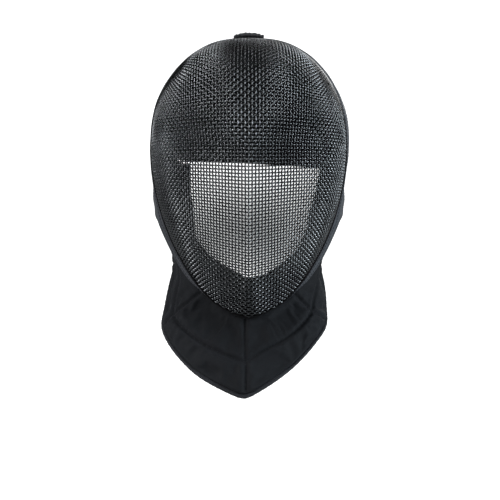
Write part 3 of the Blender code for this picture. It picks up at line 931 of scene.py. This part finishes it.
def makeBib(look, thread):
    # the outer sheet moved in by half the wall, rounded at its border, swelled as cloth, then quilted
    around = np.linspace(-1.0, 1.0, bib["across"])
    down = np.linspace(0.0, 1.0, bib["down"])
    sheetRounds, normalRounds, swellRounds = bib["smoothing"]
    outer = settle(bibSheet(down[None, :], around[:, None]), sheetRounds)
    normal = sheetNormals(outer)
    normal *= np.sign((normal * (outer - mask["within"])).sum(-1).mean())
    normal = unit(settle(normal, normalRounds))
    wall = bib["wall"] * np.interp(down, *bib["topWall"])[None, :, None]
    middle = outer - normal * wall / 2.0
    away = borderAway(middle, bib["square"])
    half = normal * wall / 2.0 * roundEdge(away / bib["edge"])[..., None]
    front, back = middle + half, middle - half
    lines = seamLines()
    seamAway, seamRun = seamAways(outer, lines)
    coarse = (slice(None, None, bib["stride"]),) * 2
    border = away[coarse] < bib["held"][0]
    held = border | (seamAway[coarse] < bib["held"][1])
    marks = np.concatenate([held.reshape(-1), border[1:-1, 1:-1].reshape(-1)])
    moves = swell(front[coarse], back[coarse], marks, *bib["swell"])
    ahead, behind = (settle(finerGrid(v, bib["stride"]), swellRounds) for v in moves)
    # near the ears the cloth lies flat under the band
    start, fade, length = bib["flat"]
    near = np.clip((np.abs(around) - start) / fade, 0.0, 1.0)[:, None]
    free = (1.0 - near * (1.0 - np.clip(runAlong(outer, 1) / length, 0.0, 1.0))) ** 2
    relief, clear = quiltRelief(outer, seamAway, seamRun)
    lift = (relief * (np.clip(away / bib["border"], 0.0, 1.0) * free))[..., None]
    backSwell, backLift = bib["backShares"]
    front = front + ahead * clear[..., None] * free[..., None] + normal * lift
    back = back + behind * backSwell + normal * (lift * backLift)
    piece = addPillow("quilted_bib", front, back, look, "bib_cloth")
    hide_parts("bib")
    # stitches run in the grooves
    pitch, length, radius, above = bib["stitch"]
    rows = []
    for line in lines:
        path = np.stack(line, axis=-1)
        at = evenPlaces(gridAt(front, *line), pitch)
        spot, way = rowsAt(path, at), rowsAt(np.gradient(path, axis=0), at)
        fits = (spot[:, 1] > bib["stitched"][0]) & (spot[:, 1] < bib["stitched"][1])
        spot, way = spot[fits], way[fits]
        out = gridAt(normal, *spot.T)
        along = gridAt(front, *(spot + way * 0.5).T) - gridAt(front, *(spot - way * 0.5).T)
        rows.append((gridAt(front, *spot.T) + out * above, along, out))
    rows = (np.concatenate(parts) for parts in zip(*rows))
    addStitches("bib_stitches", *rows, thread, "bib_cloth", length, radius)
    print("bib quilted")


# The hem: pucker of its radius, stitches, taper at its ends, and how far it laps over the bib's edge.
hem = {
    "samples": 420,
    "sides": 10,
    "pucker": 0.16,
    "taper": 18.0,
    "wrap": 0.9,
    "stitch": (3.0, 2.1, 0.26, 0.9),  # pitch, length, radius, place as a share of the hem's radius
    "lean": (0.9, 0.45),  # which way the stitches look: out and back
}


def makeHem(look, thread):
    # a soft tube on the bib's free edge: radius * (1 + pucker * wave), middle = edge + onward * (radius + gap)
    pitch, length, size, place = hem["stitch"]
    around = np.linspace(-1.0, 1.0, hem["samples"] + 2)[1:-1]
    edge = bibSheet(np.ones_like(around), around)
    along = unit(np.gradient(edge, axis=0))
    onward = squareTo(along, edge - bibSheet(np.full_like(around, 0.95), around))
    inward = np.cross(along, onward)
    inward *= np.sign((inward * (mask["within"] - edge)).sum(-1).mean())
    radius = bib["hemRadius"]
    middle = edge + onward * (radius - hem["wrap"]) + inward * bib["wall"] * 0.45
    run = runAlong(middle)
    wave = np.sin(run * 2.0 * math.pi / pitch) * 0.5 + np.sin(run * 0.9 + 1.0) * 0.5
    ends = roundEdge(np.minimum(run, run[-1] - run) / hem["taper"], 0.02)
    thick = radius * (1.0 - hem["pucker"] * (0.5 + 0.5 * wave)) * ends
    ring = carryRound(middle, onward, thick, hem["sides"], False)
    tube = addTube("bound_hem", ring, look, "bib_cloth", False)
    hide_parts("bib_hem")
    places = evenPlaces(middle, pitch)
    out = unit(rowsAt(-inward, places) * hem["lean"][0] - rowsAt(onward, places) * hem["lean"][1])
    here = rowsAt(middle, places) + out * radius * place
    addStitches("hem_stitches", here, rowsAt(along, places), out, thread, "bib_cloth", length, size)
    print("hem bound")


# The padding inside. The head pad spans the crown, the cheek and chin pads line the rest of the rim.
pads = {
    "headWall": 10.0,
    "headTilt": 0.055,
    "headRows": [  # forward, height, inset, edge back, edge drop
        (16.0, -102.0, 1.8, 23.0, 0.0), (20.0, -62.0, 1.8, 27.0, 0.0), (20.0, -30.0, 2.2, 27.0, 0.0),
        (10.0, -2.0, 5.5, 18.0, 5.0), (-10.0, 16.0, 12.0, 6.0, 10.0), (-48.0, 17.0, 13.0, 0.0, 10.0),
    ],
    "inset": -0.8,  # the rim pads reach past the rim by this much
    "centre": -125.0,
    "turn": (0.53, 0.66),
    "back": 1.6,
    "rimWall": 9.0,
    "rimRows": [  # share, width left, width right
        (0.48, 37.5, 23.5), (0.57, 34.0, 25.0), (0.64, 30.5, 25.0), (0.70, 26.5, 22.0),
        (0.745, 23.5, 21.0), (0.78, 25.5, 22.8), (0.83, 29.3, 26.5), (0.88, 34.5, 31.3),
        (0.94, 38.5, 35.0), (1.0, 39.0, 38.3),
    ],
    "cheeks": [  # name, node, side, share of its top, how much lower the top is at the free edge
        ("left_cheek_pad", "cheek_pad_left", -1.0, 0.4735, 0.011),
        ("right_cheek_pad", "cheek_pad_right", 1.0, 0.497, 0.0),
    ],
    "cheekFree": (0.55, 0.25),
    "cheekEnd": 0.7005,
    "chinShare": 0.6995,
    "stride": 2,
    "held": 0.5,
    "shrink": 1.2,  # the pads start this much thinner and swell
    "swell": (3.0, 0.03, 1.1),  # pressure, extra cloth, farthest move
    "channels": (22.0, 0.9, 1.6),  # pitch, depth and width of the sewn channels
    "rim": (0.6, 4.0, 1.1),  # depth, distance from the border and width of the seam round a pad
    "border": 5.0,
}


def headSheet(across, up):
    row = np.array(pads["headRows"]).T
    knots = np.linspace(0.0, 1.0, len(pads["headRows"]))
    forward, height, inset, edgeBack, edgeDrop = (steady(knots, r, up) for r in row)
    curve = across * across
    widest = rimTable["knots"][rimTable["x"].argmax()]
    rimX, _, rimHeight = rimAt(np.linspace(0.0, widest, 60))
    x = (np.interp(edgeDrop - height, -rimHeight, rimX) - inset) * across
    tilt = pads["headTilt"] * (1.0 - up) ** 2
    return stack(x, forward - edgeBack * curve, height - edgeDrop * curve - tilt * x)


def rimPadSheet(across, share):
    row = np.array(pads["rimRows"]).T
    at = np.abs(share)
    width = np.where(share < 0, steady(row[0], row[1], at), steady(row[0], row[2], at))
    x, forward, height = rimAt(share)
    turn = np.clip((at - pads["turn"][0]) / (pads["turn"][1] - pads["turn"][0]), 0.0, 1.0)
    lift = (pads["centre"] - height) * turn * turn * (3.0 - 2.0 * turn)
    reach = (pads["inset"] * (1.0 - across) + width * across) / np.hypot(x, lift)
    return stack(x - x * reach, forward - pads["rimWall"] / 2.0 - pads["back"], height + lift * reach)


def makePad(name, node, middle, wall, facing, look, channels, square):
    # middle sheet, rounded wall, swelled as cloth, then sewn channels across it
    normal, away, half = roundedWall(middle, wall - pads["shrink"], wall * 0.55, facing, square)
    front, back = middle + normal * half[..., None], middle - normal * half[..., None]
    coarse = (slice(None, None, pads["stride"]),) * 2
    held = away[coarse] < pads["held"]
    marks = np.concatenate([held.reshape(-1), held[1:-1, 1:-1].reshape(-1)])
    moves = swell(front[coarse], back[coarse], marks, *pads["swell"])
    ahead, behind = (finerGrid(v, pads["stride"]) for v in moves)
    pitch, deep, wide = pads["channels"]
    off = np.abs((runAlong(middle) / pitch) % 1.0 - 0.5) * pitch
    sewn = -deep * bell(off / wide) * np.clip(away / pads["border"], 0.0, 1.0) * channels
    deep, far, wide = pads["rim"]
    relief = (sewn - deep * bell((away - far) / wide))[..., None] * normal
    piece = addPillow(name, front + ahead + relief, back + behind - relief, look, "padding")
    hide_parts(node)


def makePads(look):
    up = np.linspace(0.0, 1.0, 97)[:, None]
    middle = headSheet(np.linspace(-1.0, 1.0, 121)[None, :], up)
    facing = np.array([0.0, 0.7, 0.7])
    makePad("brow_and_crown_pad", "head_pad", middle, pads["headWall"], facing, look, 1.0, (4.0, 4.0))
    width = np.linspace(0.0, 1.0, 25)[None, :]
    facing = np.array([0.0, 1.0, 0.0])
    down = np.linspace(0.0, 1.0, 57)[:, None]
    start, fade = pads["cheekFree"]
    free = np.clip((width - start) / fade, 0.0, 1.0)
    for name, node, side, top, slope in pads["cheeks"]:
        first = top + slope * free * free * (3.0 - 2.0 * free)
        middle = rimPadSheet(width, (first + (pads["cheekEnd"] - first) * down) * side)
        makePad(name, node, middle, pads["rimWall"], facing, look, 1.0, (4.0, 1.0))
    side = np.linspace(pads["chinShare"], 1.0, 61)
    middle = rimPadSheet(width, np.concatenate([side, -side[-2::-1]])[:, None])
    makePad("chin_cushion", "chin_pad", middle, pads["rimWall"], facing, look, 0.0, (4.0, 1.0))
    print("pads swelled")


# The tab is a folded strap end that stands up on the band behind the crown.
tab = {
    "width": 31.0,
    "length": 40.0,
    "rise": 8.3,
    "back": 8.0,
    "seat": 5.2,
    "wall": 2.8,
    "ruffle": 0.55,
    "ruffleWaves": (21.0, 0.7, 9.0, 5.0),  # waves across, their unevenness, its waves, and the fading to the back
    "slack": 0.35,
    "slackWaves": [(0.0, 19.0, 1.2), (2.0, 11.0, 0.4), (1.0, 31.0, 1.5)],  # turn, length, lean
    "seam": (0.35, 2.6, 0.6),  # depth, distance from the edge and width
    "stitch": (2.6, 1.9, 0.25, 0.1),  # pitch, length, radius, lift
}


def tabSheet(across, along):
    arch = 1.0 - np.abs(across) ** 2.5
    front = np.clip(along / 0.2, 0.0, 1.0)
    rise = tab["seat"] + (tab["rise"] - tab["seat"]) * arch * np.sqrt(front)
    _, forward, height = rimAt(across * tab["width"] / 2.0 / rimTable["length"])
    return stack(tab["width"] / 2.0 * across, forward - tab["back"] - tab["length"] * along, height + rise)


def makeTab(look, thread):
    # the arched strap with a ruffled front edge: height + ruffle * wave across, fading to the back
    across, along = np.linspace(-1.0, 1.0, 97), np.linspace(0.0, 1.0, 61)
    a, b = np.broadcast_arrays(across[:, None], along[None, :])
    middle = tabSheet(a, b)
    normal, away, half = roundedWall(middle, tab["wall"], 1.2, np.array([0.0, 0.0, 1.0]))
    waves, uneven, slow, fade = tab["ruffleWaves"]
    wave = np.sin(a * waves + uneven * np.sin(a * slow)) * np.exp(-b * fade)
    slack = ripples(a * 15.0, b * tab["length"], tab["slackWaves"], tab["slack"])
    middle = middle + normal * (tab["ruffle"] * wave + slack * np.clip(away / 4.0, 0.0, 1.0))[..., None]
    deep, far, wide = tab["seam"]
    front = middle + normal * (half - deep * bell((away - far) / wide))[..., None]
    back = middle - normal * half[..., None]
    piece = addPillow("folded_tab", front, back, look, "strap")
    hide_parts("crown_tab")
    # one row of stitches round three sides
    path, out = (np.concatenate([v[3, 3:-3], v[3:-3, -4][1:], v[-4, 3:-3][::-1]]) for v in (front, normal))
    stitchRow("tab_stitches", path, out, tab["stitch"], thread, "strap")
    print("tab folded")


# Shared shader effects. Each is one group with named sockets.
def newGroup(name, ins, outs):
    group = bpy.data.node_groups.new(name, "ShaderNodeTree")
    for label, value in ins.items():
        kind = "NodeSocketVector" if value is None else "NodeSocketFloat"
        socket = group.interface.new_socket(name=label, in_out="INPUT", socket_type=kind)
        if value is not None:
            socket.default_value = value
    for label in outs:
        group.interface.new_socket(name=label, in_out="OUTPUT", socket_type="NodeSocketFloat")
    return group, group.nodes.new("NodeGroupInput"), group.nodes.new("NodeGroupOutput")


def feed(tree, node, sources):
    # each input takes a value or the output that leads to it
    for label, source in sources.items():
        if isinstance(source, bpy.types.NodeSocket):
            tree.links.new(source, node.inputs[label])
        else:
            node.inputs[label].default_value = source


def addNode(tree, kind, sources=(), **settings):
    node = tree.nodes.new("ShaderNode" + kind)
    for label, value in settings.items():
        setattr(node, label, value)
    feed(tree, node, dict(sources))
    return node


def calc(tree, operation, *sources):
    return addNode(tree, "Math", dict(enumerate(sources)), operation=operation).outputs[0]


def weaveGroup():
    ins = {"Map": None, "Threads per metre": 900.0, "Unevenness": 0.3}
    group, start, end = newGroup("threadWeave", ins, ["Height", "Shade"])
    where, threads, uneven = (start.outputs[label] for label in ins)
    wobble = addNode(group, "TexNoise", {"Scale": 90.0, "Vector": where})
    size = calc(group, "MULTIPLY", uneven, 0.0012)
    shift = addNode(group, "VectorMath", {0: wobble.outputs["Color"], "Scale": size}, operation="SCALE")
    moved = addNode(group, "VectorMath", {0: where, 1: shift.outputs[0]})
    parts = addNode(group, "SeparateXYZ", {0: moved.outputs[0]})
    u, v = (calc(group, "MULTIPLY", parts.outputs[axis], threads) for axis in "XY")
    ridgeU, ridgeV = (
        calc(group, "ABSOLUTE", calc(group, "SINE", calc(group, "MULTIPLY", way, math.pi))) for way in (u, v)
    )
    cell = calc(group, "ADD", calc(group, "FLOOR", u), calc(group, "FLOOR", v))
    over = calc(group, "ABSOLUTE", calc(group, "MODULO", cell, 2.0))
    first = calc(group, "MULTIPLY", ridgeU, over)
    second = calc(group, "MULTIPLY", ridgeV, calc(group, "SUBTRACT", 1.0, over))
    height = calc(group, "ADD", first, second)
    # painted shade: Shade is lighter on the crowns of the threads and darker where they dip
    feed(group, end, {"Height": height, "Shade": calc(group, "MULTIPLY_ADD", height, 0.5, 0.5)})
    return group


def mottleGroup():
    # two sizes of noise: broad fading and fine fibres or dust
    ins = {"Place": None, "Broad size": 18.0, "Fine size": 420.0}
    group, start, end = newGroup("fadeAndDust", ins, ["Broad", "Fine"])
    for label, detail in (("Broad", 3.0), ("Fine", 5.0)):
        sources = {"Detail": detail, "Vector": start.outputs["Place"], "Scale": start.outputs[label + " size"]}
        feed(group, end, {label: addNode(group, "TexNoise", sources).outputs["Fac"]})
    return group


def newMaterial(name, **fixed):
    material = bpy.data.materials.new(name)
    material.use_nodes = True
    shader = material.node_tree.nodes["Principled BSDF"]
    feed(material.node_tree, shader, {label.replace("_", " "): value for label, value in fixed.items()})
    return material, material.node_tree, shader


def ramp(tree, source, stops):
    # colours or grey values by the places of their stops
    node = addNode(tree, "ValToRGB", {"Fac": source})
    elements = node.color_ramp.elements
    elements[0].position, elements[1].position = stops[0][0], stops[-1][0]
    for position, _ in stops[1:-1]:
        elements.new(position)
    for element, (_, value) in zip(elements, stops):
        element.color = (*np.broadcast_to(value, 3), 1.0)
    return node.outputs["Color"]


def bump(tree, shader, height, strength, distance):
    node = addNode(tree, "Bump", {"Strength": strength, "Distance": distance, "Height": height})
    feed(tree, shader, {"Normal": node.outputs["Normal"]})


def clothMaterial(name, dark, light, roughness, threads, strength, sheen, uneven, broad, gloss):
    # painted shade of the weave (darker where its threads dip) + fading between two tones; bump from the weave and
    # fine fibres
    material, tree, shader = newMaterial(
        name, Roughness=roughness, Sheen_Weight=sheen, Sheen_Roughness=0.5, Specular_IOR_Level=gloss
    )
    where = addNode(tree, "TexCoord")
    sources = {"Threads per metre": threads, "Unevenness": uneven, "Map": where.outputs["UV"]}
    weave = addNode(tree, "Group", node_tree=shared["weave"])
    feed(tree, weave, sources)
    mottle = addNode(tree, "Group", node_tree=shared["mottle"])
    feed(tree, mottle, {"Broad size": broad, "Place": where.outputs["Object"]})
    shade = calc(tree, "MULTIPLY", weave.outputs["Shade"], 0.55)
    mixed = calc(tree, "ADD", shade, calc(tree, "MULTIPLY", mottle.outputs["Broad"], 0.6))
    feed(tree, shader, {
        "Base Color": ramp(tree, mixed, [(0.45, dark), (1.0, light)]),
        "Roughness": calc(tree, "MULTIPLY_ADD", mottle.outputs["Fine"], 0.18, roughness - 0.09),
    })
    fibres = calc(tree, "MULTIPLY", mottle.outputs["Fine"], 0.5)
    bump(tree, shader, calc(tree, "ADD", weave.outputs["Height"], fibres), strength, 0.0003)
    return material


def wireMaterial():
    # black coating, worn thin in places
    material, tree, shader = newMaterial("coatedWire", Roughness=0.3, Metallic=1.0)
    where = addNode(tree, "TexCoord")
    mottle = addNode(tree, "Group", node_tree=shared["mottle"])
    feed(tree, mottle, {"Broad size": 26.0, "Fine size": 650.0, "Place": where.outputs["Object"]})
    broad, fine = (
        calc(tree, "MULTIPLY", mottle.outputs[label], share) for label, share in (("Broad", 0.6), ("Fine", 0.4))
    )
    mixed = calc(tree, "ADD", broad, fine)
    tones = [(0.3, (0.045, 0.047, 0.050)), (0.52, (0.075, 0.079, 0.083)), (0.7, (0.14, 0.146, 0.153))]
    feed(tree, shader, {
        "Base Color": ramp(tree, mixed, tones),
        "Roughness": ramp(tree, mixed, [(0.3, 0.22), (0.7, 0.13)]),
    })
    bump(tree, shader, mottle.outputs["Fine"], 0.12, 0.0002)
    return material


shared = {"weave": weaveGroup(), "mottle": mottleGroup()}
clothRows = {  # material, dark, light, roughness, threads per metre, bump, sheen, unevenness, broad size, gloss
    "cord": (
        "braidedCord", (0.001, 0.001, 0.0012), (0.004, 0.004, 0.005), 0.75, 1400.0, 0.5, 0.0, 0.3, 18.0, 0.08
    ),
    "cover": (
        "smoothCoverCloth", (0.0175, 0.0195, 0.023), (0.034, 0.0375, 0.045), 0.6, 1500.0, 0.25, 0.03, 0.2,
        12.0, 0.2,
    ),
    "bib": (
        "bibCloth", (0.0021, 0.0025, 0.0034), (0.007, 0.0081, 0.0104), 0.74, 1100.0, 0.45, 0.02, 0.3, 18.0, 0.11
    ),
    "hem": ("hemTape", (0.004, 0.0045, 0.006), (0.013, 0.0147, 0.0185), 0.66, 1300.0, 0.4, 0.03, 0.3, 18.0, 0.18),
    "padding": (
        "brushedPadding", (0.003, 0.003, 0.0036), (0.009, 0.009, 0.011), 0.95, 800.0, 0.5, 0.02, 0.8, 30.0, 0.1
    ),
    "strap": ("foldedWebbing", (0.010, 0.010, 0.012), (0.03, 0.031, 0.034), 0.8, 700.0, 0.8, 0.05, 0.3, 18.0, 0.25),
    "thread": (
        "sewingThread", (0.003, 0.0034, 0.0044), (0.009, 0.010, 0.0125), 0.7, 2500.0, 0.3, 0.02, 0.3, 18.0, 0.1
    ),
}
looks = {"wire": wireMaterial(), **{label: clothMaterial(*row) for label, row in clothRows.items()}}

makeWires(looks["wire"])
makeCord(looks["cord"])
stitchBand(*makeBand(looks["cover"]), looks["thread"])
makeBib(looks["bib"], looks["thread"])
makeHem(looks["hem"], looks["thread"])
makePads(looks["padding"])
makeTab(looks["strap"], looks["thread"])


# The studio: pale floor curving up behind the mask, soft lights, the photograph's camera.
studio = {
    "floor": -0.62,
    "paper": (0.5, 0.5, 0.5, 1.0),
    "glow": 1.15,
    "shade": (0.0, 2.1, -0.27),  # painted shadow of the mask: the paper's glow is dimmer here, behind the mask
    "paintedShadowDepth": 1.05,
    "paintedShadowSize": 0.2,
    "world": 0.03,
    "lights": [  # name, place, aim, width, height, watts, colour
        ("skyPanel", (-0.15, -0.55, 1.1), (0.0, -0.08, -0.1), 0.6, 0.35, 14.5, (1.0, 1.0, 1.0)),
        ("rightPanel", (1.15, -0.45, -0.02), (0.05, -0.05, -0.17), 0.3, 1.0, 26.0, (0.88, 0.96, 1.0)),
        ("leftPanel", (-1.1, -0.5, 0.15), (-0.05, -0.05, -0.17), 0.3, 0.9, 20.0, (1.0, 1.0, 1.0)),
        ("backPanel", (0.7, 1.2, 0.6), (0.0, -0.05, -0.1), 0.8, 0.8, 7.0, (1.0, 1.0, 1.0)),
    ],
    # 1 m before the rim, level with a point 150 mm below the head seat; the shift sets the photograph's frame
    "camera": (0.0, -1.03, -0.150),
    "sensor": 36.0,
    "fieldPerMetre": 0.5 * 1.009,
    "shift": (0.0026, -0.1),
}


def makeFloor(white):
    # floor profile: flat, then a quarter circle up into the wall, swept sideways
    turn = np.linspace(0.0, np.pi / 2.0, 25)
    y = np.concatenate([[-3.0, -1.0, 0.5], 1.2 + 1.2 * np.sin(turn), [2.4]])
    z = np.concatenate([[0.0, 0.0, 0.0], 1.2 - 1.2 * np.cos(turn), [4.0]]) + studio["floor"]
    points = stack(np.linspace(-4.0, 4.0, 5)[None, :], y[:, None], z[:, None]).reshape(-1, 3)
    mesh = newMesh("studio_floor", points, [gridFaces(len(y), 5)[0]])
    mesh.shade_smooth()
    paper, tree, shader = newMaterial("palePaper", Base_Color=studio["paper"], Roughness=0.9, Emission_Color=white)
    # pale to the eye, with a painted shadow of the mask dimming the glow behind it: glow - depth * exp(-(distance /
    # size)^2), and it lights nothing
    far = addNode(tree, "VectorMath", operation="DISTANCE")
    feed(tree, far, {0: addNode(tree, "TexCoord").outputs["Object"], 1: studio["shade"]})
    part = calc(tree, "DIVIDE", far.outputs["Value"], studio["paintedShadowSize"])
    fall = calc(tree, "EXPONENT", calc(tree, "MULTIPLY", calc(tree, "MULTIPLY", part, part), -1.0))
    pale = calc(tree, "MULTIPLY_ADD", fall, -studio["paintedShadowDepth"], studio["glow"])
    seen = addNode(tree, "LightPath").outputs["Is Camera Ray"]
    feed(tree, shader, {"Emission Strength": calc(tree, "MULTIPLY", pale, seen)})
    mesh.materials.append(paper)
    newObject("studio_floor", mesh)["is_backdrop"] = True


def makeStudio():
    white = (1.0, 1.0, 1.0, 1.0)
    makeFloor(white)
    # the room is white to the eye and lights the mask only a little
    scene.world = bpy.data.worlds.new("softRoom")
    scene.world.use_nodes = True
    tree = scene.world.node_tree
    seen = addNode(tree, "LightPath").outputs["Is Camera Ray"]
    strength = calc(tree, "MAXIMUM", seen, studio["world"])
    feed(tree, tree.nodes["Background"], {"Strength": strength, "Color": white})
    for name, place, target, width, height, watts, colour in studio["lights"]:
        light = bpy.data.lights.new(name, "AREA")
        light.shape = "RECTANGLE"
        light.size, light.size_y = width, height
        light.energy = watts
        light.color = colour
        lamp = newObject(name, light)
        lamp.location = place
        lamp.rotation_euler = (Vector(target) - lamp.location).to_track_quat("-Z", "Y").to_euler()
    print("studio set")


def makeCamera():
    data = bpy.data.cameras.new("photoCamera")
    data.sensor_width = studio["sensor"]
    data.lens = studio["sensor"] / studio["fieldPerMetre"]
    data.shift_x, data.shift_y = studio["shift"]
    scene.camera = newObject("photoCamera", data)
    scene.camera.location = studio["camera"]
    scene.camera.rotation_euler = (math.pi / 2.0, 0.0, 0.0)


scene.view_settings.view_transform = "Standard"
makeStudio()
makeCamera()
low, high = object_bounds()
sizes = {"cad": [cadLow, cadHigh], "dressed": [low, high]}
{name: [list(map(float, corner)) for corner in box] for name, box in sizes.items()}
